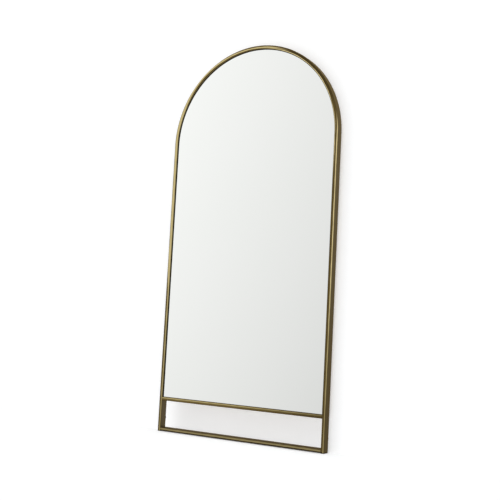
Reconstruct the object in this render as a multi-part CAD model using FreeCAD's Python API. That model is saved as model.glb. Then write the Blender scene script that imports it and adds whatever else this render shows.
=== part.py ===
import FreeCAD
import Part
import math
import os

# Arched floor mirror: a welded box-tube frame that holds silvered glass, a card liner and a backing board,
# with clips, hanging rings and wall bumpers at the rear and glides under the stiles.
# Millimetres. X runs across the mirror, Y from the front to the rear, Z up.
# The origin lies on the floor, in the middle of the width and of the depth over the bumpers.

# Overall size
overall_width = 864.0
overall_height = 1778.0

# Box tube that the whole frame is made of
tube_face = 15.9
tube_depth = 38.1
tube_wall = 1.5
tube_corner = 3.0
arch_leg = 80.0

# Sleeve inside each butt joint between arch and stile
sleeve_length = 70.0
sleeve_wall = 1.5
sleeve_clearance = 0.15

# Heights above the floor
crossbar_bottom = 141.0

# Lip that stops the glass at the front, along the stiles and the arch
lip_reach = 3.0
lip_thickness = 2.5
lip_setback = 4.5
lip_bevel = 1.0

# Glass, card liner and backing board
glass_thickness = 5.0
glass_gap = 1.0
glass_arris = 0.6
liner_thickness = 2.0
liner_gap = 3.0
board_thickness = 6.0
board_gap = 1.5

# Rubber pads round the edge of the glass
setting_pad_length = 60.0
setting_pad_spacing = 420.0
side_pad_length = 40.0
side_pad_inset = 240.0

# Clips that hold the board, and their screws
clip_width = 16.0
clip_leg = 15.0
clip_foot = 14.0
clip_sheet = 1.5
clip_bend = 1.0
clips_per_stile = 3
clip_above_crossbar = 146.0
clip_below_joint = 166.0
clip_angles = [40.0, 90.0, 140.0]
clip_spacing = 440.0
screw_radius = 1.9
screw_length = 7.0
screw_head_radius = 3.6
screw_head_height = 2.2
hole_clearance = 0.15
head_bevel = 1.2

# Hanging rings on welded tabs
hanger_below_joint = 96.0
tab_margin = 12.0
tab_sheet = 3.0
tab_setback = 1.5
tab_corner = 5.0
strap_width = 12.0
strap_sheet = 1.0
strap_end_round = 5.4
strap_end_margin = 7.4
wire_radius = 1.3
wire_sides = 12
knuckle_clearance = 0.35
ring_inner_width = 16.0
ring_leg = 3.0
ring_corner = 2.4
ring_side_clearance = 2.4
ring_bolt_clearance = 0.8
bolt_radius = 2.0
bolt_pitch = 12.0
bolt_tail = 1.0
bolt_head_radius = 3.8
bolt_head_height = 2.4
nut_flats = 7.0
nut_height = 3.2

# Rubber bumpers towards the wall
bumper_margin = 1.75
bumper_height = 6.0
bumper_taper = 0.8
bumper_bevel = 1.4
bumper_angles = [60.0, 120.0]
bumper_above_floor = 60.0

# Glides in the lower ends of the stiles
glide_flange = 2.0
glide_stem = 20.0
glide_wall = 1.6
glide_clearance = 0.15
glide_bevel = 0.6

# Places worked out from the sizes above
front_y = -(tube_depth + bumper_height) / 2
back_y = front_y + tube_depth
outer_radius = overall_width / 2
inner_radius = outer_radius - tube_face
tube_middle = inner_radius + tube_face / 2
tube_middle_y = front_y + tube_depth / 2
spring_z = overall_height - outer_radius
joint_z = spring_z - arch_leg
crossbar_top = crossbar_bottom + tube_face
rail_bottom = glide_flange
lip_front = front_y + lip_setback
glass_front = lip_front + lip_thickness
liner_front = glass_front + glass_thickness
board_front = liner_front + liner_thickness
board_back = board_front + board_thickness
tab_back = back_y - tab_setback
ring_y = tab_back + strap_sheet + knuckle_clearance + wire_radius
ring_half = ring_inner_width / 2 + wire_radius
ring_reach = ring_corner + ring_leg + ring_half + wire_radius
hanger_x = inner_radius - ring_side_clearance - wire_radius - ring_half
hanger_z = joint_z - hanger_below_joint
tab_reach = 2 * (inner_radius - hanger_x)
first_bolt = ring_reach + ring_bolt_clearance + bolt_head_radius
bolt_drops = [first_bolt, first_bolt + bolt_pitch]
strap_length = bolt_drops[-1] + strap_end_margin
nut_front = tab_back - tab_sheet - nut_height
bumper_radius = tube_face / 2 - bumper_margin

axis_x = FreeCAD.Vector(1, 0, 0)
axis_y = FreeCAD.Vector(0, 1, 0)
axis_z = FreeCAD.Vector(0, 0, 1)
arch_centre = FreeCAD.Vector(0, 0, spring_z)


def point(x, y, z):
    return FreeCAD.Vector(x, y, z)


def moved(shape, x, y, z):
    """Copy of a shape, shifted."""
    copy = shape.copy()
    copy.translate(point(x, y, z))
    return copy


def mirrored(shape):
    """The same piece on the other side of the mirror's middle."""
    return shape.mirror(point(0, 0, 0), axis_x)


def line(start, end):
    return Part.LineSegment(start, end).toShape()


def arc(start, middle, end):
    return Part.Arc(start, middle, end).toShape()


def section(width, depth, corner):
    """Rectangle with rounded corners in the XY plane, centred on the origin."""
    box = Part.makeBox(width, depth, 1, point(-width / 2, -depth / 2, 0))
    if corner > 0:
        upright = [edge for edge in box.Edges if abs(edge.tangentAt(edge.FirstParameter).z) > 0.9]
        box = box.makeFillet(corner, upright)
    return [face for face in box.Faces if face.normalAt(0, 0).z < -0.9][0]


def tube_faces():
    """Outer and inner section of the box tube, standing on the XY plane."""
    outer = section(tube_face, tube_depth, tube_corner)
    inner = section(tube_face - 2 * tube_wall, tube_depth - 2 * tube_wall, 0)
    return outer, inner


def straight_tube(length):
    """Length of box tube along Z, from the XY plane up."""
    outer, inner = tube_faces()
    return outer.extrude(axis_z * length).cut(inner.extrude(axis_z * length))


def hoop(profile, leg):
    """Sweep a face at the right spring point over the arch, with a straight leg below each end."""
    bend = profile.revolve(arch_centre, axis_y, -180)
    right = profile.extrude(axis_z * -leg)
    return bend.fuse([right, mirrored(right)]).removeSplitter()


def arched_plate(gap, bottom, front, thickness):
    """Flat arched sheet that stays a gap inside the frame."""
    half = inner_radius - gap
    corners = [point(half, front, bottom), point(half, front, spring_z)]
    corners += [point(-half, front, spring_z), point(-half, front, bottom)]
    crown = arc(corners[1], point(0, front, spring_z + half), corners[2])
    right = line(corners[0], corners[1])
    left = line(corners[2], corners[3])
    foot = line(corners[3], corners[0])
    return Part.Face(Part.Wire([right, crown, left, foot])).extrude(axis_y * thickness)


def cylinder(radius, length, start, direction):
    return Part.makeCylinder(radius, length, start, direction)


def pan_head(radius, length, head_radius, head_height):
    """Screw along +X with the seat of its head at the origin and its shank towards -X."""
    shank = cylinder(radius, length, point(0, 0, 0), -axis_x)
    head = cylinder(head_radius, head_height, point(0, 0, 0), axis_x)
    rim = [edge for edge in head.Edges if edge.BoundBox.XMin > head_height / 2]
    head = head.makeChamfer(head_bevel, rim)
    return shank.fuse(head).removeSplitter()


def on_opening(shape, angle, x, z):
    """Turn a piece whose +X points into the opening to that angle, and set it on the frame."""
    copy = shape.copy()
    copy.rotate(point(0, 0, 0), axis_y, -angle)
    copy.translate(point(x, 0, z))
    return copy


def clip_stations():
    """Angle and place of each clip on the inner wall of the frame."""
    seat = inner_radius - math.sqrt(inner_radius**2 - (clip_width / 2) ** 2)
    places = []
    lowest = crossbar_top + clip_above_crossbar
    step = (joint_z - clip_below_joint - lowest) / (clips_per_stile - 1)
    for row in range(clips_per_stile):
        places.append((180.0, inner_radius, lowest + row * step))
        places.append((0.0, -inner_radius, lowest + row * step))
    for turn in clip_angles:
        radius = inner_radius - seat
        lift = math.radians(turn)
        places.append((turn + 180.0, radius * math.cos(lift), spring_z + radius * math.sin(lift)))
    for side in (-1, 1):
        places.append((90.0, side * clip_spacing / 2, crossbar_top))
    return places


def clip_screw_y():
    """Depth of the screw, in the middle of the flat of the clip's leg."""
    return board_back + (clip_leg + clip_sheet + clip_bend) / 2


def retaining_clip():
    """Bent clip: one leg lies on the frame's inner wall, the other presses on the board."""
    outer_bend = clip_bend + clip_sheet
    slant = 1 - math.sqrt(0.5)
    foot_y = board_back + clip_sheet
    outline = [
        line(point(clip_foot, board_back, 0), point(clip_foot, foot_y, 0)),
        line(point(clip_foot, foot_y, 0), point(outer_bend, foot_y, 0)),
        arc(
            point(outer_bend, foot_y, 0),
            point(clip_sheet + clip_bend * slant, foot_y + clip_bend * slant, 0),
            point(clip_sheet, foot_y + clip_bend, 0),
        ),
        line(point(clip_sheet, foot_y + clip_bend, 0), point(clip_sheet, board_back + clip_leg, 0)),
        line(point(clip_sheet, board_back + clip_leg, 0), point(0, board_back + clip_leg, 0)),
        line(point(0, board_back + clip_leg, 0), point(0, board_back + outer_bend, 0)),
        arc(
            point(0, board_back + outer_bend, 0),
            point(outer_bend * slant, board_back + outer_bend * slant, 0),
            point(outer_bend, board_back, 0),
        ),
        line(point(outer_bend, board_back, 0), point(clip_foot, board_back, 0)),
    ]
    body = moved(Part.Face(Part.Wire(outline)).extrude(axis_z * clip_width), 0, 0, -clip_width / 2)
    drill = cylinder(screw_radius + hole_clearance, clip_sheet, point(0, clip_screw_y(), 0), axis_x)
    return body.cut(drill)


def clip_screw():
    """Screw that holds a clip, its head on the inner face of the leg."""
    screw = pan_head(screw_radius, screw_length, screw_head_radius, screw_head_height)
    return moved(screw, clip_sheet, clip_screw_y(), 0)


def drilled(tube, angles):
    """Tube with a hole for each clip screw whose clip stands at one of these angles."""
    start = point(clip_sheet, clip_screw_y(), 0)
    drill = cylinder(screw_radius + hole_clearance, screw_length, start, -axis_x)
    for angle, x, z in clip_stations():
        if angle in angles:
            tube = tube.cut(on_opening(drill, angle, x, z))
    return tube


def lip_section():
    """Section of the stop lip: its root on X = 0, its free edge towards -X, the front edge bevelled."""
    outline = [
        point(0, lip_front, 0),
        point(0, glass_front, 0),
        point(-lip_reach, glass_front, 0),
        point(-lip_reach, lip_front + lip_bevel, 0),
        point(-lip_reach + lip_bevel, lip_front, 0),
        point(0, lip_front, 0),
    ]
    return Part.Face(Part.makePolygon(outline))


def stile():
    """Right stile, from the glide to the joint under the arch."""
    tube = straight_tube(joint_z - glide_flange)
    return drilled(moved(tube, tube_middle, tube_middle_y, glide_flange), [180.0])


def cross_tube(bottom):
    """Tube between the stiles, its narrow face to the front."""
    tube = straight_tube(2 * inner_radius)
    tube.rotate(point(0, 0, 0), axis_y, 90)
    return moved(tube, -inner_radius, tube_middle_y, bottom + tube_face / 2)


def arch():
    """Tube bent to a half circle, with a straight leg at each end."""
    outer, inner = tube_faces()
    place = (tube_middle, tube_middle_y, spring_z)
    bent = hoop(moved(outer, *place), arch_leg).cut(hoop(moved(inner, *place), arch_leg))
    return drilled(bent, [turn + 180.0 for turn in clip_angles])


def joint_sleeve():
    """Sleeve inside the tube, half of it in the stile and half in the arch."""
    width = tube_face - 2 * tube_wall - 2 * sleeve_clearance
    depth = tube_depth - 2 * tube_wall - 2 * sleeve_clearance
    outer = section(width, depth, 0).extrude(axis_z * sleeve_length)
    inner = section(width - 2 * sleeve_wall, depth - 2 * sleeve_wall, 0).extrude(axis_z * sleeve_length)
    return moved(outer.cut(inner), tube_middle, tube_middle_y, joint_z - sleeve_length / 2)


def arch_lip():
    return hoop(moved(lip_section(), inner_radius, 0, spring_z), arch_leg)


def side_lip():
    """Lip along the right stile, from the crossbar to the arch's own lip."""
    return moved(lip_section(), inner_radius, 0, crossbar_top).extrude(axis_z * (joint_z - crossbar_top))


def glass():
    """Glass sheet with its front edge ground to a small arris."""
    sheet = arched_plate(glass_gap, crossbar_top + glass_gap, glass_front, glass_thickness)
    rim = [edge for edge in sheet.Edges if edge.BoundBox.YMax < glass_front + glass_arris]
    return sheet.makeChamfer(glass_arris, rim)


def pad_between_edges(length):
    """Pad between the frame's inner wall and the edge of the glass, its +X into the opening."""
    depth = glass_thickness - glass_arris
    return Part.makeBox(glass_gap, depth, length, point(0, glass_front + glass_arris, -length / 2))


def setting_pads():
    pad = pad_between_edges(setting_pad_length)
    return [on_opening(pad, 90.0, side * setting_pad_spacing / 2, crossbar_top) for side in (-1, 1)]


def side_pads():
    pad = pad_between_edges(side_pad_length)
    pads = []
    for z in (crossbar_top + side_pad_inset, joint_z - side_pad_inset):
        pads.append(on_opening(pad, 180.0, inner_radius, z))
        pads.append(on_opening(pad, 0.0, -inner_radius, z))
    return pads


def edges_along_y(shape):
    return [edge for edge in shape.Edges if abs(edge.tangentAt(edge.FirstParameter).y) > 0.9]


def hanger_drill(front, depth):
    """Holes for the two bolts of the right hanger, through a sheet."""
    drills = []
    for drop in bolt_drops:
        start = point(hanger_x, front, hanger_z - drop)
        drills.append(cylinder(bolt_radius + hole_clearance, depth, start, axis_y))
    return drills


def hanger_tab():
    """Plate welded to the inner wall of the right stile, its free corners rounded."""
    height = strap_length + 2 * tab_margin
    corner = point(inner_radius - tab_reach, tab_back - tab_sheet, hanger_z - strap_length - tab_margin)
    plate = Part.makeBox(tab_reach, tab_sheet, height, corner)
    free = [edge for edge in edges_along_y(plate) if edge.BoundBox.XMax < hanger_x]
    plate = plate.makeFillet(tab_corner, free)
    return plate.cut(hanger_drill(tab_back - tab_sheet, tab_sheet))


def hanger_strap():
    """Strap of the right hanger: a flat tail with a round end, and a knuckle rolled at the top."""
    left = hanger_x - strap_width / 2
    corner = point(left, tab_back, hanger_z - strap_length)
    tail = Part.makeBox(strap_width, strap_sheet, strap_length, corner)
    low = [edge for edge in edges_along_y(tail) if edge.BoundBox.ZMax < hanger_z - strap_length / 2]
    tail = tail.makeFillet(strap_end_round, low)
    start = point(left, ring_y, hanger_z)
    roll = cylinder(wire_radius + knuckle_clearance + strap_sheet, strap_width, start, axis_x)
    bore = cylinder(wire_radius + knuckle_clearance, strap_width, start, axis_x)
    return tail.fuse(roll).cut([bore] + hanger_drill(tab_back, strap_sheet)).removeSplitter()


def d_ring():
    """Wire ring of the right hanger, hanging from the bar that runs through the knuckle."""
    x, y, z = hanger_x, ring_y, hanger_z
    slant = ring_corner * (1 - math.sqrt(0.5))
    top_left = point(x - ring_half + ring_corner, y, z)
    top_right = point(x + ring_half - ring_corner, y, z)
    left_high = point(x - ring_half, y, z - ring_corner)
    right_high = point(x + ring_half, y, z - ring_corner)
    left_low = point(x - ring_half, y, z - ring_corner - ring_leg)
    right_low = point(x + ring_half, y, z - ring_corner - ring_leg)
    bottom = point(x, y, z - ring_corner - ring_leg - ring_half)
    path = Part.Wire([
        line(point(x, y, z), top_right),
        arc(top_right, point(right_high.x - slant, y, z - slant), right_high),
        line(right_high, right_low),
        arc(right_low, bottom, left_low),
        line(left_low, left_high),
        arc(left_high, point(left_high.x + slant, y, z - slant), top_left),
        line(top_left, point(x, y, z)),
    ])
    corners = [math.radians(360 / wire_sides * (side + 0.5)) for side in range(wire_sides)]
    rim = [point(x, y + wire_radius * math.cos(turn), z + wire_radius * math.sin(turn)) for turn in corners]
    return path.makePipeShell([Part.makePolygon(rim + rim[:1])], True, False)


def hanger_bolts():
    length = strap_sheet + tab_sheet + nut_height + bolt_tail
    bolt = pan_head(bolt_radius, length, bolt_head_radius, bolt_head_height)
    bolt.rotate(point(0, 0, 0), axis_z, 90)
    right = [moved(bolt, hanger_x, tab_back + strap_sheet, hanger_z - drop) for drop in bolt_drops]
    return right + [mirrored(bolt) for bolt in right]


def hanger_nuts():
    hexagon = Part.makePolygon([
        point(
            nut_flats / math.sqrt(3) * math.cos(math.radians(60 * corner)),
            0,
            nut_flats / math.sqrt(3) * math.sin(math.radians(60 * corner)),
        )
        for corner in range(7)
    ])
    nut = Part.Face(hexagon).extrude(axis_y * nut_height)
    nut = nut.cut(cylinder(bolt_radius + hole_clearance, nut_height, point(0, 0, 0), axis_y))
    right = [moved(nut, hanger_x, nut_front, hanger_z - drop) for drop in bolt_drops]
    return right + [mirrored(nut) for nut in right]


def wall_bumpers():
    """Tapered rubber buttons on the rear of the arch and near the foot of each stile."""
    end_radius = bumper_radius - bumper_taper
    button = Part.makeCone(bumper_radius, end_radius, bumper_height, point(0, back_y, 0), axis_y)
    crown = [edge for edge in button.Edges if edge.BoundBox.YMin > back_y + bumper_height / 2]
    button = button.makeChamfer(bumper_bevel, crown)
    buttons = [moved(button, side * tube_middle, 0, bumper_above_floor) for side in (-1, 1)]
    for turn in bumper_angles:
        across = tube_middle * math.cos(math.radians(turn))
        above = tube_middle * math.sin(math.radians(turn))
        buttons.append(moved(button, across, 0, spring_z + above))
    return buttons


def foot_glide():
    """Glide of the right stile: a flange under the tube and a hollow stem inside it."""
    stem_width = tube_face - 2 * tube_wall - 2 * glide_clearance
    stem_depth = tube_depth - 2 * tube_wall - 2 * glide_clearance
    flange = section(tube_face, tube_depth, tube_corner).extrude(axis_z * glide_flange)
    low = [edge for edge in flange.Edges if edge.BoundBox.ZMax < glide_flange / 2]
    flange = flange.makeChamfer(glide_bevel, low)
    stem = moved(section(stem_width, stem_depth, 0).extrude(axis_z * glide_stem), 0, 0, glide_flange)
    core = section(stem_width - 2 * glide_wall, stem_depth - 2 * glide_wall, 0).extrude(axis_z * glide_stem)
    glide = flange.fuse(stem).cut(moved(core, 0, 0, glide_flange))
    return moved(glide.removeSplitter(), tube_middle, tube_middle_y, 0)


def pair(name, right):
    """The right piece and its mirror image, as two nodes."""
    return {"right_" + name: right, "left_" + name: mirrored(right)}


clips = [on_opening(retaining_clip(), *place) for place in clip_stations()]
screws = [on_opening(clip_screw(), *place) for place in clip_stations()]
nodes = {
    "arch_tube": arch(),
    "crossbar": drilled(cross_tube(crossbar_bottom), [90.0]),
    "bottom_rail": cross_tube(rail_bottom),
    "joint_sleeves": Part.makeCompound([joint_sleeve(), mirrored(joint_sleeve())]),
    "arch_lip": arch_lip(),
    "mirror_glass": glass(),
    "setting_pads": Part.makeCompound(setting_pads()),
    "side_pads": Part.makeCompound(side_pads()),
    "card_liner": arched_plate(liner_gap, crossbar_top + liner_gap, liner_front, liner_thickness),
    "backing_board": arched_plate(board_gap, crossbar_top + board_gap, board_front, board_thickness),
    "retaining_clips": Part.makeCompound(clips),
    "clip_screws": Part.makeCompound(screws),
    "hanger_bolts": Part.makeCompound(hanger_bolts()),
    "hanger_nuts": Part.makeCompound(hanger_nuts()),
    "wall_bumpers": Part.makeCompound(wall_bumpers()),
}
nodes.update(pair("stile", stile()))
nodes.update(pair("lip", side_lip()))
nodes.update(pair("hanger_tab", hanger_tab()))
nodes.update(pair("hanger_strap", hanger_strap()))
nodes.update(pair("d_ring", d_ring()))
nodes.update(pair("foot_glide", foot_glide()))

os.makedirs("parts", exist_ok=True)
for name, shape in nodes.items():
    shape.exportStep("parts/" + name + ".step")
    print(name, "solids", len(shape.Solids), "valid", shape.isValid(), "volume", round(shape.Volume, 1))
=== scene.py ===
"""Looks of the arched floor mirror: finishes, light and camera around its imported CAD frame."""

import math

import bmesh
import bpy
from mathutils import Matrix, Vector


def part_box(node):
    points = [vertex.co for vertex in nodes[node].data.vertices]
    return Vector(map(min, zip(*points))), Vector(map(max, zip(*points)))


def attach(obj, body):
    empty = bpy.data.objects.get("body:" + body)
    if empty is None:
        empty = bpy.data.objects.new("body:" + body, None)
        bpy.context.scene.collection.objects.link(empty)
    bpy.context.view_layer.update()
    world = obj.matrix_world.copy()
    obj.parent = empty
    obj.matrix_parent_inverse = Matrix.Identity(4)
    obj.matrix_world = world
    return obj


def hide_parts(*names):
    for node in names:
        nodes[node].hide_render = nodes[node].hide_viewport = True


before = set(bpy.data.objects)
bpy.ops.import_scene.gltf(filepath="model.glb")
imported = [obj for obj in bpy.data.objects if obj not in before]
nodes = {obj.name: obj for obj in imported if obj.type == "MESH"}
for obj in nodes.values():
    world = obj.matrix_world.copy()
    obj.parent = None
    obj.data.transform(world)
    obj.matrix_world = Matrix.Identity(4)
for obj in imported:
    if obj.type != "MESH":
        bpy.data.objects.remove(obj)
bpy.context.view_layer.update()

SIDES = (("left", -1), ("right", 1))

# Camera of the photograph, metres and unit vectors in the row frame
CAMERA_PLACE = (2.0000, -3.1526, 0.5046)
CAMERA_RIGHT = Vector((0.84694, 0.52910, 0.05248))
CAMERA_AHEAD = Vector((-0.53168, 0.84207, 0.09070))
SENSOR_WIDTH = 36.0
IMAGE_WIDTH = 500
FOCAL_PIXELS = 836.2

# Tubes of the frame, metres
STILE_LOW, STILE_HIGH = map(Vector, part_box("right_stile"))
CROSSBAR_LOW, CROSSBAR_HIGH = map(Vector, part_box("crossbar"))
RAIL_LOW, RAIL_HIGH = map(Vector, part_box("bottom_rail"))
INNER_RADIUS = STILE_LOW.x
OUTER_RADIUS = STILE_HIGH.x
HOOP_RADIUS = (INNER_RADIUS + OUTER_RADIUS) / 2
TUBE_HALF = (OUTER_RADIUS - INNER_RADIUS) / 2
TUBE_CORNER = 0.003
JOINT_Z = STILE_HIGH.z
JOINT_DROP = 0.08
SPRING_Z = JOINT_Z + JOINT_DROP
CROSSBAR_Z = (CROSSBAR_LOW.z + CROSSBAR_HIGH.z) / 2
RAIL_Z = (RAIL_LOW.z + RAIL_HIGH.z) / 2

# Clips, hangers and bumpers at the rear, metres and degrees
CLIP_SHEET = 0.0015
CLIP_HEIGHTS = (0.3029, 0.70145, 1.1)
CLIP_ANGLES = (40, 90, 140)
CLIP_ARCH_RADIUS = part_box("retaining_clips")[1][2] - SPRING_Z
CLIP_CROSSBAR_X = 0.22
CLIP_SCREW_Y = 0.0067
CLIP_SCREW_TWIST = 37
CLIP_SCREW = {"shank": 0.0019, "length": 0.007, "head": 0.0036, "height": 0.0022}
HANGER_BOLT = {"shank": 0.002, "length": 0.0082, "head": 0.0038, "height": 0.0024}
HANGER_X = 0.4031
HANGER_BOLT_Y = 0.01555
HANGER_BOLT_HEIGHTS = (1.1494, 1.1374)
HANGER_BOLT_TWISTS = (25, 75)
RING_Y = 0.0172
RING_Z = 1.17
RING_HALF = 0.0093
RING_CORNER = 0.0024
RING_LEG = 0.003
RING_CORNER_STEPS = 8
RING_BOW_STEPS = 36
WIRE_RADIUS = 0.0013
WIRE_SIDES = 16
BUMPER_Z = 0.06
BUMPER_ANGLES = (60, 120)
BUMPER_SIDES = 48

# Rubber button as (radius, height) in millimetres
BUMPER_PROFILE = (
    (0, 0), (6.2, 0), (6.2, 0.5), (6.0, 0.9), (5.85, 1.3), (5.45, 4.3), (5.15, 5.1), (4.6, 5.7),
    (3.9, 5.97), (3.3, 6.0), (2.1, 6.0), (1.8, 5.9), (1.55, 5.55), (1.0, 5.3), (0, 5.25),
)

# Screws as shares of their own sizes: points are (share of the length or pitch, share of the radius)
POINT_SHAPE = ((1.0, 0.0), (1.0, 0.55), (0.94, 0.8))
TURN_SHAPE = ((0.0, 0.82), (0.4, 1.0), (0.55, 1.0), (0.95, 0.82))
THREAD_TURNS = 9
THREAD_START = 0.93
THREAD_SHARE = 0.83
NECK_SHARE = 0.06
SEAT_SHARE = 0.97
BEVEL_SHARE = 0.08
RIM_SHARE = 0.3
DOME_STEPS = 8
DOME_POWER = 0.8
RECESS_REACH = 0.56
RECESS_HALF = 0.13
RECESS_DEPTH = 0.62
RECESS_TAPER = 0.45
SCREW_SIDES = 32

# Weld beads, metres
EDGE_BEAD = 0.0016
EDGE_BEAD_MARGIN = 0.00505
GROOVE_BEAD = 0.0027
GROOVE_INSET = 0.0003
TAB_BEAD = 0.0013
TAB_MARGIN = 0.002
BEAD_STEP = 0.0007
BEAD_LEAST_STEPS = 8
BEAD_ARC_STEPS = 6
BEAD_HOLLOW = 0.22
BEAD_END = 0.25
BEAD_END_SLOPE = 3.2
BEAD_ROUND_END = 0.1
RIPPLE_LENGTH = 0.0021
RIPPLE_SHARE = 0.09

# Grain of the finishes: across, depth and along, per metre
BRUSH_GRAIN = (1500, 1500, 20)
TARNISH_GRAIN = (130, 130, 16)
SANDING_GRAIN = (90, 90, 2.5)
SHARP_ANGLE = math.radians(40)

# Light of the studio: a range is (from, to, level at from, level at to)
SKY_LEVEL = 0.85
SUN_STRENGTH = 1.1
SUN_SOFTNESS = math.radians(25)
SUN_FROM = Vector((0.05, -0.45, 0.89))
SOFTBOX_SLOPE = (-0.91, 0.0, 0.334)
SOFTBOX_RANGE = (0.213, 0.653, 0.60, 1.04)
FLOOR_RANGE = (-0.62, -0.12, 0.95, 0.58)
FRONT_RANGE = (-1.0, -0.85, 0.84, 0.60)
LIGHT_BLEND = 0.12

# Stage, metres and levels
STAGE_COLOUR = (0.735, 0.74, 0.746, 1)
STAGE_REACH = 8.0
FLOOR_Z = -0.0002
FLOOR_GLOW = 0.18
WALL_Y = 0.032
WALL_HEIGHT = 4.0
WALL_GLOW = 0.335
OPENING_RIGHT = 0.41
PANEL_Y = 0.1
PANEL_HEIGHT = 0.5
PANEL_GLOW = 0.405


class Tree:
    """A node tree built from short calls; most of them return the socket with the result."""

    def __init__(self, owner):
        owner.use_nodes = True
        self.nodes = owner.node_tree.nodes
        self.links = owner.node_tree.links
        self.nodes.clear()

    def add(self, kind, inputs=None, **settings):
        """New node; inputs maps a socket's name or number to a value or to the socket that feeds it."""
        node = self.nodes.new(kind)
        for key, value in settings.items():
            setattr(node, key, value)
        for key, value in (inputs or {}).items():
            if isinstance(value, bpy.types.NodeSocket):
                self.links.new(value, node.inputs[key])
            else:
                node.inputs[key].default_value = value
        return node

    def math(self, operation, *values):
        """The result of a math node."""
        return self.add("ShaderNodeMath", dict(enumerate(values)), operation=operation).outputs[0]

    def times(self, first, *others):
        """The product of several values."""
        for other in others:
            first = self.math("MULTIPLY", first, other)
        return first

    def vector(self, x, y, z):
        """Three numbers joined into a vector."""
        return self.add("ShaderNodeCombineXYZ", {0: x, 1: y, 2: z}).outputs[0]

    def split(self, vector):
        """The three numbers of a vector."""
        return self.add("ShaderNodeSeparateXYZ", {0: vector}).outputs

    def stretch(self, vector, grain):
        """The vector with each of its numbers scaled."""
        return self.add("ShaderNodeVectorMath", {0: vector, 1: grain}, operation="MULTIPLY").outputs[0]

    def place(self):
        """The point on the surface, in the row frame, because each object sits at the origin."""
        return self.add("ShaderNodeTexCoord").outputs["Object"]

    def normal(self):
        """The three numbers of the surface's normal."""
        return self.split(self.add("ShaderNodeNewGeometry").outputs["Normal"])

    def noise(self, vector, scale, detail=3.0, roughness=0.5):
        """Cloudy noise, mostly between 0.2 and 0.8."""
        inputs = {"Vector": vector, "Scale": scale, "Detail": detail, "Roughness": roughness}
        return self.add("ShaderNodeTexNoise", inputs).outputs["Fac"]

    def span(self, value, low, high, to_low=0.0, to_high=1.0, smooth=True):
        """value from low..high carried to to_low..to_high, and held there outside."""
        inputs = {0: value, 1: low, 2: high, 3: to_low, 4: to_high}
        kind = "SMOOTHSTEP" if smooth else "LINEAR"
        return self.add("ShaderNodeMapRange", inputs, interpolation_type=kind, clamp=True).outputs[0]

    def mix(self, share, first, second):
        """The first colour, with a share of the second one over it."""
        inputs = {0: share, 6: first, 7: second}
        return self.add("ShaderNodeMix", inputs, data_type="RGBA", clamp_factor=True).outputs[2]

    def ramp(self, share, stops):
        """Grey levels at places along share, with soft changes between them."""
        node = self.add("ShaderNodeValToRGB", {0: share})
        band = node.color_ramp
        band.interpolation = "EASE"
        while len(band.elements) < len(stops):
            band.elements.new(1.0)
        for element, (place, level) in zip(band.elements, stops):
            element.position = place
            element.color = (level, level, level, 1)
        return node.outputs[0]

    def bump(self, height, strength, distance):
        """A normal that follows a height."""
        inputs = {"Height": height, "Strength": strength, "Distance": distance}
        return self.add("ShaderNodeBump", inputs).outputs["Normal"]

    def surface(self, inputs):
        """Ends a material's tree with a principled shader."""
        shader = self.add("ShaderNodeBsdfPrincipled", inputs)
        self.add("ShaderNodeOutputMaterial", {"Surface": shader.outputs[0]})


def colour(red, green, blue):
    """A shader colour from sRGB levels of 0 to 255."""
    def linear(level):
        share = level / 255
        return share / 12.92 if share <= 0.04045 else ((share + 0.055) / 1.055) ** 2.4
    return (linear(red), linear(green), linear(blue), 1.0)


def finish(name):
    """A new material and its tree."""
    made = bpy.data.materials.new(name)
    return made, Tree(made)


def along_hoop(tree):
    """Point on the arch or a stile as (distance from the hoop's axis, depth, length along the hoop)."""
    x, y, z = tree.split(tree.place())
    above = tree.math("SUBTRACT", z, SPRING_Z)
    rise = tree.math("MAXIMUM", above, 0.0)
    drop = tree.times(tree.math("SIGN", x), tree.math("MINIMUM", above, 0.0))
    turned_length = tree.times(tree.math("ARCTAN2", rise, x), HOOP_RADIUS)
    squares = tree.math("ADD", tree.times(x, x), tree.times(rise, rise))
    return tree.math("SQRT", squares), y, tree.math("ADD", turned_length, drop)


def along_bar(tree):
    """Point on a level bar as (height, depth, length along the bar)."""
    x, y, z = tree.split(tree.place())
    return z, y, x


def flat(tree, facing):
    """1 on the flat front and rear of a tube, and 0 from its corners on."""
    return tree.span(facing, 0.90, 0.99)


def hoop_way(tree, along):
    """0 at the right foot, about a third where the arch springs, a half at its top, 1 at the left foot."""
    return tree.span(along, -SPRING_Z, math.pi * HOOP_RADIUS + SPRING_Z, smooth=False)


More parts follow.
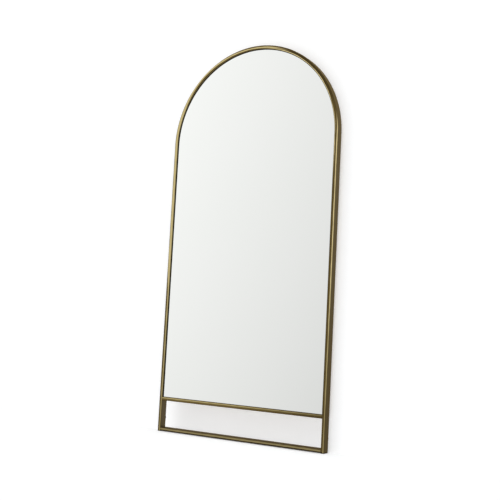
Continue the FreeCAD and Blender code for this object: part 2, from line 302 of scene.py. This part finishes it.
def hoop_painted_highlight(tree, share, along, height, facing):
    """Painted highlight of the hoop: a burnish-like band that wanders across the face to where the light
    catches it, and a bright line along the corner towards the opening on the right shoulder.
    """
    way = hoop_way(tree, along)
    # Centre and width of the band follow where the light catches the face along the hoop: painted highlight.
    middle = tree.ramp(way, (
        (0.0, 0.72), (0.2, 0.86), (0.34, 0.84), (0.42, 0.5), (0.5, 0.38),
        (0.583, 0.70), (0.63, 0.42), (0.8, 0.38), (0.85, 0.18), (1.0, 0.28),
    ))
    half = tree.ramp(way, (
        (0.0, 0.13), (0.4, 0.13), (0.5, 0.17), (0.583, 0.2),
        (0.63, 0.36), (0.8, 0.36), (0.85, 0.16), (1.0, 0.16),
    ))
    corner = tree.ramp(way, (
        (0.0, 0.2), (0.1, 0.35), (0.34, 0.35), (0.45, 0.0), (0.6, 0.0), (0.64, 0.5), (1.0, 0.45),
    ))
    # No painted highlight on the right shoulder.
    strength = tree.ramp(way, ((0.0, 1.0), (0.335, 1.0), (0.36, 0.0), (0.45, 0.0), (0.49, 1.0)))
    off = tree.math("ABSOLUTE", tree.math("SUBTRACT", share, middle))
    band = tree.span(tree.math("SUBTRACT", off, half), -0.07, 0.09, 1.0, 0.0)
    band = tree.times(band, flat(tree, tree.math("ADD", facing, corner)), strength)
    # Painted highlight: a bright line along the corner towards the opening on the right shoulder.
    right = tree.ramp(way, ((0.0, 0.0), (0.28, 0.0), (0.32, 1.0), (0.46, 1.0), (0.5, 0.0)))
    inner_corner_glint = tree.times(tree.span(facing, 0.25, 0.45), tree.span(share, 0.12, 0.24, 1.0, 0.0), right)
    # The highlight fades towards the floor: painted shade.
    low = tree.span(height, 0.0, 0.9, 0.5, 1.0)
    return tree.times(tree.math("MAXIMUM", band, inner_corner_glint), low)


def hoop_painted_glint(tree, along):
    """Where the painted highlight is brightest: a painted glint."""
    stops = ((0.0, 0.0), (0.08, 0.0), (0.2, 0.9), (0.455, 1.0), (0.5, 0.1), (0.6, 0.0))
    return tree.ramp(hoop_way(tree, along), stops)


def crossbar_painted_highlight(tree, share, along, height, facing):
    """Painted highlight along the upper edge, where the light from above catches it, weaker to the right."""
    band = tree.ramp(share, ((0.0, 0.0), (0.4, 0.05), (0.65, 0.3), (0.8, 1.0), (1.0, 1.0)))
    return tree.times(band, tree.span(along, -0.1, 0.45, 1.0, 0.36), flat(tree, facing))


def rail_painted_highlight(tree, share, along, height, facing):
    """Painted highlight along the middle of the face, with the upper and lower edges left dark."""
    band = tree.ramp(share, ((0.0, 0.0), (0.3, 0.0), (0.45, 0.45), (0.68, 0.42), (0.85, 0.08), (1.0, 0.0)))
    return tree.times(band, flat(tree, facing))


def painted_floor_shade(tree, height):
    """Painted shade along the lowest edges, where the floor's contact shadow falls."""
    return tree.span(height, 0.003, 0.009, 0.8, 0.0)


def hoop_painted_shade(tree, along, height, facing):
    """Painted shade: the sides darker towards the floor, the face on the right shoulder darker, and the shade
    at the floor.
    """
    # Sides darker towards the floor: painted shade.
    low = tree.span(height, 0.15, 1.2, 0.48, 0.23, smooth=False)
    low = tree.times(low, tree.span(height, 1.3, 1.6, 1.0, 0.0))
    sides = tree.times(low, tree.span(facing, 0.3, 0.9, 1.0, 0.25))
    # Face of the right shoulder darker: painted shade.
    stops = ((0.0, 0.0), (0.355, 0.0), (0.39, 0.5), (0.45, 0.5), (0.49, 0.0))
    shoulder = tree.ramp(hoop_way(tree, along), stops)
    face = tree.times(shoulder, tree.span(facing, 0.5, 0.9))
    return tree.math("MAXIMUM", tree.math("MAXIMUM", sides, face), painted_floor_shade(tree, height))


def crossbar_painted_shade(tree, along, height, facing):
    """Painted shade that is heavier to the right, away from the light."""
    return tree.span(along, -0.1, 0.45, 0.0, 0.42)


def rail_painted_shade(tree, along, height, facing):
    """Only the painted shade at the floor."""
    return painted_floor_shade(tree, height)


def antique_brass(name, layout, middle, painted_highlight, painted_glint, painted_shade, dark, side):
    """Brass brushed along the tube: a painted highlight band on the face, dark corners that are partly
    painted shade, brown sides coloured for how they are lit, painted shade towards the floor, and a dark seam
    at the joint.
    """
    made, tree = finish(name)
    across, depth, along = layout(tree)
    run = tree.vector(across, depth, along)
    brushed = tree.noise(tree.stretch(run, BRUSH_GRAIN), 1.0, 4.0, 0.6)
    tarnish = tree.noise(tree.stretch(run, TARNISH_GRAIN), 1.0, 4.0, 0.55)
    facing = tree.math("ABSOLUTE", tree.normal()[1])
    share = tree.span(tree.math("SUBTRACT", across, middle), -TUBE_HALF, TUBE_HALF, smooth=False)
    uneven = tree.math("ADD", share, tree.span(tarnish, 0.2, 0.8, -0.09, 0.09, smooth=False))
    height = tree.split(tree.place())[2]
    # Band of painted highlight across the face.
    highlight_band = painted_highlight(tree, uneven, along, height, facing)
    highlight_share = tree.times(highlight_band, tree.span(brushed, 0.25, 0.6, 0.72, 1.0))
    # Faces turned away from the front take the side colour, chosen for how they are lit: painted light and
    # shade.
    tone_and_shade = tree.mix(tree.span(facing, 0.1, 0.6), side, dark)
    tone_and_shade = tree.mix(tree.span(brushed, 0.3, 0.75, 0.0, 0.3), tone_and_shade, colour(150, 130, 86))
    # Painted shade, mixed towards near-black.
    tone_and_shade = tree.mix(painted_shade(tree, along, height, facing), tone_and_shade, colour(30, 23, 14))
    # Gold of the painted highlight, with a painted glint where it is brightest.
    gold = colour(208, 191, 136)
    if painted_glint:
        gold = tree.mix(painted_glint(tree, along), gold, colour(240, 220, 162))
    base = tree.mix(highlight_share, tone_and_shade, gold)
    seam = tree.math("ABSOLUTE", tree.math("SUBTRACT", height, JOINT_Z))
    base = tree.mix(tree.span(seam, 0.0001, 0.0004, 0.55, 0.0), base, colour(40, 32, 20))
    rough = tree.span(brushed, 0.2, 0.8, 0.32, 0.46, smooth=False)
    rough = tree.math("SUBTRACT", rough, tree.times(highlight_share, 0.06))
    tree.surface({
        "Base Color": base, "Metallic": 1.0, "Roughness": rough, "Specular Tint": colour(190, 176, 150),
        "Normal": tree.bump(brushed, 0.12, 0.0002),
    })
    return made


def lip_bronze_and_shade(name):
    """Near-black bronze of the thin stop lip, its darkness partly painted shade of the recess at the glass's
    edge.
    """
    made, tree = finish(name)
    clouds = tree.noise(tree.place(), 60.0, 5.0)
    base = tree.mix(clouds, colour(30, 24, 15), colour(54, 45, 28))
    rough = tree.span(clouds, 0.2, 0.8, 0.42, 0.55)
    tree.surface({"Base Color": base, "Metallic": 1.0, "Roughness": rough})
    return made


def silvered_glass(name):
    """Float glass with a silvered back: a near perfect mirror in front, with dark edges and back."""
    made, tree = finish(name)
    drift = tree.noise(tree.place(), 1.4, 2.0)
    silver = tree.mix(drift, colour(244, 246, 243), colour(247, 248, 246))
    away = tree.span(tree.normal()[1], -0.7, -0.3)
    base = tree.mix(away, silver, colour(62, 84, 74))
    tree.surface({"Base Color": base, "Metallic": 1.0, "Roughness": 0.012})
    return made


def fibreboard(name):
    """Raw hardboard: matted fibres, darker flecks, cloudy pressing and faint sanding marks."""
    made, tree = finish(name)
    place = tree.place()
    fibres = tree.noise(place, 420.0, 6.0, 0.7)
    flecks = tree.noise(place, 240.0, 2.0, 0.6)
    clouds = tree.noise(place, 7.0, 5.0, 0.6)
    streaks = tree.noise(tree.stretch(place, SANDING_GRAIN), 1.0, 3.0)
    base = tree.mix(fibres, colour(124, 95, 66), colour(176, 143, 104))
    base = tree.mix(tree.span(clouds, 0.35, 0.7, 0.0, 0.45), base, colour(112, 83, 55))
    base = tree.mix(tree.span(streaks, 0.45, 0.75, 0.0, 0.22), base, colour(186, 154, 115))
    base = tree.mix(tree.span(flecks, 0.58, 0.72, 0.0, 0.42), base, colour(88, 63, 40))
    rough = tree.span(clouds, 0.3, 0.7, 0.72, 0.88)
    tree.surface({"Base Color": base, "Roughness": rough, "Normal": tree.bump(fibres, 0.25, 0.0004)})
    return made


def card(name):
    """Grey card with fine fibres."""
    made, tree = finish(name)
    fibres = tree.noise(tree.place(), 700.0, 5.0)
    base = tree.mix(fibres, colour(150, 140, 122), colour(186, 178, 160))
    tree.surface({"Base Color": base, "Roughness": 0.9})
    return made


def rubber(name, shade):
    """Matt black rubber or plastic with a fine grain."""
    made, tree = finish(name)
    grain = tree.noise(tree.place(), 900.0, 4.0)
    base = tree.mix(grain, colour(shade - 8, shade - 8, shade - 8), colour(shade + 8, shade + 8, shade + 9))
    tree.surface({"Base Color": base, "Roughness": 0.72, "Normal": tree.bump(grain, 0.2, 0.0002)})
    return made


def zinc_steel(name):
    """Zinc-plated steel, slightly clouded."""
    made, tree = finish(name)
    cells = tree.noise(tree.place(), 320.0, 3.0)
    base = tree.mix(cells, colour(170, 172, 172), colour(205, 205, 200))
    rough = tree.span(cells, 0.25, 0.75, 0.26, 0.42)
    tree.surface({"Base Color": base, "Metallic": 1.0, "Roughness": rough})
    return made


def brass_paints():
    """The frame's brass on the hoop, the crossbar and the rail, with painted highlights and painted shade in
    different places.
    """
    # Each side colour is chosen for how the tube's sides are lit, and the rail's near-black top and underside
    # are painted shade.
    hoop = antique_brass(
        "brass_hoop", along_hoop, HOOP_RADIUS, hoop_painted_highlight, hoop_painted_glint, hoop_painted_shade,
        dark=colour(85, 71, 37), side=colour(142, 129, 103))
    crossbar = antique_brass(
        "brass_crossbar", along_bar, CROSSBAR_Z, crossbar_painted_highlight, None, crossbar_painted_shade,
        dark=colour(90, 74, 37), side=colour(120, 102, 72))
    rail = antique_brass(
        "brass_rail", along_bar, RAIL_Z, rail_painted_highlight, None, rail_painted_shade,
        dark=colour(52, 42, 27), side=colour(33, 29, 27))
    return hoop, crossbar, rail


def dress(hoop, crossbar, rail, zinc, black):
    """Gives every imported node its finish."""
    wanted = {
        hoop: ("arch_tube", "left_stile", "right_stile", "left_hanger_tab", "right_hanger_tab"),
        crossbar: ("crossbar",),
        rail: ("bottom_rail",),
        # The lip's near-black is partly painted shade.
        lip_bronze_and_shade("bronze_lip_and_shade"): ("arch_lip", "left_lip", "right_lip"),
        silvered_glass("mirror_silver"): ("mirror_glass",),
        fibreboard("board_fibre"): ("backing_board",),
        card("liner_card"): ("card_liner",),
        black: ("setting_pads", "side_pads", "wall_bumpers"),
        rubber("nylon_black", 40): ("left_foot_glide", "right_foot_glide"),
        zinc: (
            "joint_sleeves", "retaining_clips", "clip_screws", "left_hanger_strap", "right_hanger_strap",
            "left_d_ring", "right_d_ring", "hanger_bolts", "hanger_nuts",
        ),
    }
    for made, names in wanted.items():
        for name in names:
            nodes[name].data.materials[0] = made


def built(name, mesh, paint, body, slot, *replaced):
    """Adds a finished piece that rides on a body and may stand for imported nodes."""
    mesh.materials.clear()
    mesh.materials.append(paint)
    mesh.polygons.foreach_set("use_smooth", [True] * len(mesh.polygons))
    mesh.set_sharp_from_angle(angle=SHARP_ANGLE)
    piece = bpy.data.objects.new(name, mesh)
    bpy.context.scene.collection.objects.link(piece)
    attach(piece, body)
    if replaced:
        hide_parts(*replaced)


def skin(shape, rows):
    """Faces between each row of points and the next, each row closed on itself."""
    for row, after in zip(rows, rows[1:]):
        for step in range(len(row)):
            following = (step + 1) % len(row)
            shape.faces.new((row[step], row[following], after[following], after[step]))


def lathe(profile, sides):
    """Shape of a profile of (radius, height) turned about +X; both of its ends lie on the axis."""
    shape = bmesh.new()
    rings = []
    for radius, height in profile:
        turns = [2 * math.pi * step / sides for step in range(sides if radius else 1)]
        spots = [(height, radius * math.cos(turn), radius * math.sin(turn)) for turn in turns]
        rings.append([shape.verts.new(spot) for spot in spots])
    for low, high in zip(rings, rings[1:]):
        for step in range(sides):
            following = step + 1
            lower = low[step % len(low)], low[following % len(low)]
            upper = high[following % len(high)], high[step % len(high)]
            shape.faces.new(list(dict.fromkeys(lower + upper)))
    bmesh.ops.recalc_face_normals(shape, faces=shape.faces)
    return shape


def cross_cutter(reach, half, depth, top):
    """Tapered cross that cuts a recess into the end of a turned head."""
    corners = [(reach, half), (half, half), (half, reach)]
    outline = []
    for _ in range(4):
        outline += corners
        corners = [(-v, u) for u, v in corners]
    cutter = bmesh.new()
    levels = ((top - depth, 1 - RECESS_TAPER), (top + depth, 1 + RECESS_TAPER))
    rows = [[cutter.verts.new((height, u * size, v * size)) for u, v in outline] for height, size in levels]
    cutter.faces.new(rows[0][::-1])
    cutter.faces.new(rows[1])
    skin(cutter, rows)
    bmesh.ops.recalc_face_normals(cutter, faces=cutter.faces)
    return cutter


def cut_away(shape, cutter):
    """The shape without what the cutter covers."""
    bodies = []
    for part in (shape, cutter):
        mesh = bpy.data.meshes.new("turned")
        part.to_mesh(mesh)
        part.free()
        bodies.append(bpy.data.objects.new("turned", mesh))
        bpy.context.scene.collection.objects.link(bodies[-1])
    cut = bodies[0].modifiers.new("recess", "BOOLEAN")
    cut.object = bodies[1]
    cut.operation = "DIFFERENCE"
    done = bmesh.new()
    done.from_object(bodies[0], bpy.context.evaluated_depsgraph_get())
    for part in bodies:
        bpy.data.objects.remove(part)
    return done


def thread_profile(shank, length):
    """Point and coarse thread of a screw as (radius, height)."""
    profile = [(shank * wide, -length * deep) for deep, wide in POINT_SHAPE]
    pitch = length * THREAD_SHARE / THREAD_TURNS
    for turn in range(THREAD_TURNS):
        base = turn * pitch - length * THREAD_START
        profile += [(shank * wide, base + pitch * rise) for rise, wide in TURN_SHAPE]
    return profile


def head_profile(head, height):
    """Pan head of a screw as (radius, height), from its seat to the middle of its dome."""
    profile = [(head * SEAT_SHARE, 0), (head, height * BEVEL_SHARE), (head, height * RIM_SHARE)]
    for step in range(1, DOME_STEPS):
        lift = math.radians(90 * step / DOME_STEPS)
        rise = RIM_SHARE + (1 - RIM_SHARE) * math.sin(lift)
        profile.append((head * math.cos(lift) ** DOME_POWER, height * rise))
    profile.append((0, height))
    return profile


def screw(shank, length, head, height):
    """Pan-head screw along +X, its seat at the origin, with a coarse thread and a cross recess."""
    neck = [(shank, -length * NECK_SHARE), (shank, 0)]
    blank = lathe(thread_profile(shank, length) + neck + head_profile(head, height), SCREW_SIDES)
    recess = cross_cutter(head * RECESS_REACH, head * RECESS_HALF, height * RECESS_DEPTH, height)
    return cut_away(blank, recess)


def gathered(shape, places):
    """One mesh with a copy of the shape at each place."""
    mesh = bpy.data.meshes.new("gathered")
    shape.to_mesh(mesh)
    shape.free()
    whole = bmesh.new()
    for place in places:
        copy = mesh.copy()
        copy.transform(place)
        whole.from_mesh(copy)
        bpy.data.meshes.remove(copy)
    whole.to_mesh(mesh)
    whole.free()
    return mesh


def turned(degrees, axis):
    """Matrix of a turn about an axis."""
    return Matrix.Rotation(math.radians(degrees), 4, axis)


def on_arch(radius, degrees):
    """x and z at an angle round the arch's centre."""
    lift = math.radians(degrees)
    return radius * math.cos(lift), SPRING_Z + radius * math.sin(lift)


def clip_places():
    """Where each clip's screw is seated, its +X into the opening."""
    spots = [(180, INNER_RADIUS, z) for z in CLIP_HEIGHTS]
    spots += [(0, -INNER_RADIUS, z) for z in CLIP_HEIGHTS]
    spots += [(angle + 180, *on_arch(CLIP_ARCH_RADIUS, angle)) for angle in CLIP_ANGLES]
    spots += [(90, sign * CLIP_CROSSBAR_X, CROSSBAR_HIGH.z) for _, sign in SIDES]
    on_clip = Matrix.Translation((CLIP_SHEET, CLIP_SCREW_Y, 0))
    for number, (angle, x, z) in enumerate(spots):
        twist = turned(CLIP_SCREW_TWIST * number, "X")
        yield Matrix.Translation((x, 0, z)) @ turned(-angle, "Y") @ on_clip @ twist


def bolt_places():
    """Where each hanger bolt is seated, its +X to the rear."""
    for z, twist in zip(HANGER_BOLT_HEIGHTS, HANGER_BOLT_TWISTS):
        for _, sign in SIDES:
            seat = Matrix.Translation((sign * HANGER_X, HANGER_BOLT_Y, z))
            yield seat @ turned(90, "Z") @ turned(twist, "X")


def bumper_places():
    """Where each wall bumper is seated, its +X to the rear."""
    spots = [(sign * HOOP_RADIUS, BUMPER_Z) for _, sign in SIDES]
    spots += [on_arch(HOOP_RADIUS, angle) for angle in BUMPER_ANGLES]
    for x, z in spots:
        yield Matrix.Translation((x, STILE_HIGH.y, z)) @ turned(90, "Z")


def ring_route(middle):
    """Points along the middle of a ring's wire and the outward direction at each, in the XZ plane."""
    shoulder = RING_Z - RING_CORNER
    arcs = (
        (middle + RING_HALF - RING_CORNER, shoulder, RING_CORNER, 90, 0, RING_CORNER_STEPS),
        (middle, shoulder - RING_LEG, RING_HALF, 0, -180, RING_BOW_STEPS),
        (middle - RING_HALF + RING_CORNER, shoulder, RING_CORNER, 180, 90, RING_CORNER_STEPS),
    )
    route = []
    for x, z, radius, start, end, steps in arcs:
        for step in range(steps + 1):
            turn = math.radians(start + (end - start) * step / steps)
            out = Vector((math.cos(turn), 0, math.sin(turn)))
            route.append((Vector((x, RING_Y, z)) + radius * out, out))
    return route


def ring(sign):
    """Bent wire ring."""
    shape = bmesh.new()
    rear = Vector((0, 1, 0))
    turns = [2 * math.pi * step / WIRE_SIDES for step in range(WIRE_SIDES)]
    rows = []
    for spot, out in ring_route(sign * HANGER_X):
        section = [spot + WIRE_RADIUS * (math.cos(turn) * out + math.sin(turn) * rear) for turn in turns]
        rows.append([shape.verts.new(point) for point in section])
    skin(shape, rows + rows[:1])
    bmesh.ops.recalc_face_normals(shape, faces=shape.faces)
    return gathered(shape, [Matrix()])


def bead_size(share, length, leg, corner):
    """Leg of a bead at a share of its length: rippled, and smaller at its ends, which corner makes round."""
    inset = min(share, 1 - share)
    taper = min(1.0, BEAD_END_SLOPE * inset + BEAD_END)
    if corner:
        short = 1 - min(1.0, inset * length / corner)
        taper = max(BEAD_ROUND_END, math.sqrt(1 - short * short))
    return leg * taper * (1 + RIPPLE_SHARE * math.sin(2 * math.pi * share * length / RIPPLE_LENGTH))


def weld(shape, start, end, first, second, leg, corner=None):
    """Adds a bead between two faces, from start to end, with legs along first and second."""
    length = (end - start).length
    count = max(BEAD_LEAST_STEPS, round(length / BEAD_STEP))
    rows = []
    for number in range(count + 1):
        share = number / count
        size = bead_size(share, length, leg, corner)
        middle = start.lerp(end, share)
        section = [middle]
        for step in range(BEAD_ARC_STEPS + 1):
            turn = math.radians(90 * step / BEAD_ARC_STEPS)
            bulge = size * (1 - BEAD_HOLLOW + BEAD_HOLLOW * abs(math.cos(2 * turn)))
            section.append(middle + bulge * (math.cos(turn) * first + math.sin(turn) * second))
        rows.append([shape.verts.new(spot) for spot in section])
    skin(shape, rows)
    shape.faces.new(rows[0])
    shape.faces.new(rows[-1][::-1])
    bmesh.ops.recalc_face_normals(shape, faces=shape.faces)


def bar_welds(sign, middle, level):
    """Beads at one end of a level tube: along its open edge, and in the grooves by the stile's corners."""
    shape = bmesh.new()
    x = sign * INNER_RADIUS
    edge = middle + level.z * TUBE_HALF
    front = Vector((x, STILE_LOW.y + EDGE_BEAD_MARGIN, edge))
    rear = Vector((x, STILE_HIGH.y - EDGE_BEAD_MARGIN, edge))
    weld(shape, front, rear, Vector((-sign, 0, 0)), level, EDGE_BEAD)
    x -= sign * GROOVE_INSET
    for y, outwards in ((STILE_LOW.y + TUBE_CORNER, -1), (STILE_HIGH.y - TUBE_CORNER, 1)):
        low = Vector((x, y, middle - TUBE_HALF))
        high = Vector((x, y, middle + TUBE_HALF))
        weld(shape, low, high, Vector((sign, 0, 0)), Vector((0, outwards, 0)), GROOVE_BEAD, TUBE_CORNER)
    return gathered(shape, [Matrix()])


def tab_weld(side, sign):
    """Bead along a hanger tab."""
    shape = bmesh.new()
    low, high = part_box(side + "_hanger_tab")
    foot = Vector((sign * INNER_RADIUS, high[1], low[2] + TAB_MARGIN))
    head = Vector((sign * INNER_RADIUS, high[1], high[2] - TAB_MARGIN))
    weld(shape, foot, head, Vector((-sign, 0, 0)), Vector((0, 1, 0)), TAB_BEAD)
    return gathered(shape, [Matrix()])


def welds(paint):
    """Small beads where the level tubes and the hanger tabs meet the stiles."""
    bars = (("crossbar", CROSSBAR_Z, Vector((0, 0, -1))), ("rail", RAIL_Z, Vector((0, 0, 1))))
    for side, sign in SIDES:
        for name, middle, level in bars:
            built(f"{side}_{name}_weld", bar_welds(sign, middle, level), paint, "frame", "antique_brass")
        built(f"{side}_tab_weld", tab_weld(side, sign), paint, "frame", "antique_brass")


def fittings(zinc, black, brass):
    """Screws, bolts, rings, bumpers and weld beads in full detail."""
    screws = gathered(screw(**CLIP_SCREW), clip_places())
    built("board_screws", screws, zinc, "frame", "zinc_steel", "clip_screws")
    bolts = gathered(screw(**HANGER_BOLT), bolt_places())
    built("ring_bolts", bolts, zinc, "frame", "zinc_steel", "hanger_bolts")
    profile = [(radius / 1000, height / 1000) for radius, height in BUMPER_PROFILE]
    buttons = gathered(lathe(profile, BUMPER_SIDES), bumper_places())
    built("wall_buttons", buttons, black, "frame", "black_rubber", "wall_bumpers")
    for side, sign in SIDES:
        built(side + "_wire_ring", ring(sign), zinc, side + "_ring", "zinc_steel", side + "_d_ring")
    welds(brass)


def softbox(tree, direction):
    """Grey level of the studio along a direction: a soft light at the left, a fill in front, a pale floor."""
    unit = tree.add("ShaderNodeVectorMath", {0: direction}, operation="NORMALIZE").outputs[0]
    inputs = {0: unit, 1: SOFTBOX_SLOPE}
    towards = tree.add("ShaderNodeVectorMath", inputs, operation="DOT_PRODUCT").outputs["Value"]
    light = tree.span(towards, *SOFTBOX_RANGE, smooth=False)
    parts = tree.split(unit)
    floor = tree.span(parts[2], *FLOOR_RANGE)
    front = tree.span(parts[1], *FRONT_RANGE)
    others = tree.math("SMOOTH_MAX", floor, front, LIGHT_BLEND)
    return tree.math("SMOOTH_MAX", light, others, LIGHT_BLEND)


def sky():
    """White behind the object, the softbox in reflections, and an even level for everything else."""
    world = bpy.data.worlds.new("studio")
    bpy.context.scene.world = world
    tree = Tree(world)
    path = tree.add("ShaderNodeLightPath").outputs
    mirrored = tree.math("MAXIMUM", path["Is Glossy Ray"], path["Is Transmission Ray"])
    level = (SKY_LEVEL, SKY_LEVEL, SKY_LEVEL, 1)
    seen = tree.mix(mirrored, level, softbox(tree, tree.add("ShaderNodeTexCoord").outputs["Generated"]))
    seen = tree.mix(path["Is Camera Ray"], seen, (1, 1, 1, 1))
    back = tree.add("ShaderNodeBackground", {"Color": seen})
    tree.add("ShaderNodeOutputWorld", {"Surface": back.outputs[0]})


def stage_paint(name, glow, one_sided):
    """White paint that takes the object's shadow and reads as white where nothing shades it."""
    made, tree = finish(name)
    path = tree.add("ShaderNodeLightPath").outputs
    matt = tree.add("ShaderNodeBsdfDiffuse", {"Color": STAGE_COLOUR})
    lift = tree.add("ShaderNodeEmission", {"Strength": tree.times(path["Is Camera Ray"], glow)})
    shader = tree.add("ShaderNodeAddShader", {0: matt.outputs[0], 1: lift.outputs[0]})
    if one_sided:
        behind = tree.add("ShaderNodeNewGeometry").outputs["Backfacing"]
        clear = tree.add("ShaderNodeBsdfTransparent")
        shader = tree.add("ShaderNodeMixShader", {0: behind, 1: shader.outputs[0], 2: clear.outputs[0]})
    tree.add("ShaderNodeOutputMaterial", {"Surface": shader.outputs[0]})
    return made


def sheet(name, corners, paint):
    """A flat stage piece with the given corners, facing the side they turn anticlockwise on."""
    mesh = bpy.data.meshes.new(name)
    mesh.from_pydata(corners, [], [range(len(corners))])
    mesh.materials.append(paint)
    made = bpy.data.objects.new(name, mesh)
    bpy.context.scene.collection.objects.link(made)
    return made


def backdrop(name, outline, y, glow):
    """An upright stage piece that only the camera sees, and only from the front."""
    made = sheet(name, [(x, y, z) for x, z in outline], stage_paint(name + "_paint", glow, True))
    made.visible_diffuse = False
    made.visible_glossy = False
    made.visible_transmission = False
    made.visible_shadow = False


def stage():
    """Floor all round, a wall close behind, and a panel further back that shows through the slot."""
    far = STAGE_REACH
    floor = [(-far, -far, FLOOR_Z), (far, -far, FLOOR_Z), (far, far, FLOOR_Z), (-far, far, FLOOR_Z)]
    ground = sheet("stage_floor", floor, stage_paint("stage_floor_paint", FLOOR_GLOW, False))
    ground.visible_glossy = False
    wall = (
        (-far, FLOOR_Z), (-OUTER_RADIUS, FLOOR_Z), (-OUTER_RADIUS, CROSSBAR_Z), (OPENING_RIGHT, CROSSBAR_Z),
        (OPENING_RIGHT, FLOOR_Z), (far, FLOOR_Z), (far, WALL_HEIGHT), (-far, WALL_HEIGHT),
    )
    backdrop("stage_wall", wall, WALL_Y, WALL_GLOW)
    panel = ((-far, FLOOR_Z), (far, FLOOR_Z), (far, PANEL_HEIGHT), (-far, PANEL_HEIGHT))
    backdrop("stage_panel", panel, PANEL_Y, PANEL_GLOW)


def key_light():
    """One large soft key light from the front and above."""
    light = bpy.data.lights.new("key", "SUN")
    light.energy = SUN_STRENGTH
    light.angle = SUN_SOFTNESS
    key = bpy.data.objects.new("key", light)
    key.rotation_mode = "QUATERNION"
    key.rotation_quaternion = SUN_FROM.to_track_quat("Z", "Y")
    bpy.context.scene.collection.objects.link(key)


def camera():
    """The photograph's camera, with no shift."""
    lens = bpy.data.cameras.new("camera")
    lens.sensor_width = SENSOR_WIDTH
    lens.lens = SENSOR_WIDTH * FOCAL_PIXELS / IMAGE_WIDTH
    made = bpy.data.objects.new("camera", lens)
    back = -CAMERA_AHEAD.normalized()
    up = back.cross(CAMERA_RIGHT).normalized()
    turn = Matrix((up.cross(back), up, back)).transposed()
    made.matrix_world = Matrix.Translation(CAMERA_PLACE) @ turn.to_4x4()
    bpy.context.scene.collection.objects.link(made)
    bpy.context.scene.camera = made


hoop_brass, crossbar_brass, rail_brass = brass_paints()
zinc_plate = zinc_steel("zinc_plate")
black_rubber = rubber("rubber_black", 34)
dress(hoop_brass, crossbar_brass, rail_brass, zinc_plate, black_rubber)
fittings(zinc_plate, black_rubber, hoop_brass)
sky()
stage()
key_light()
camera()
bpy.context.scene.view_settings.view_transform = "Standard"
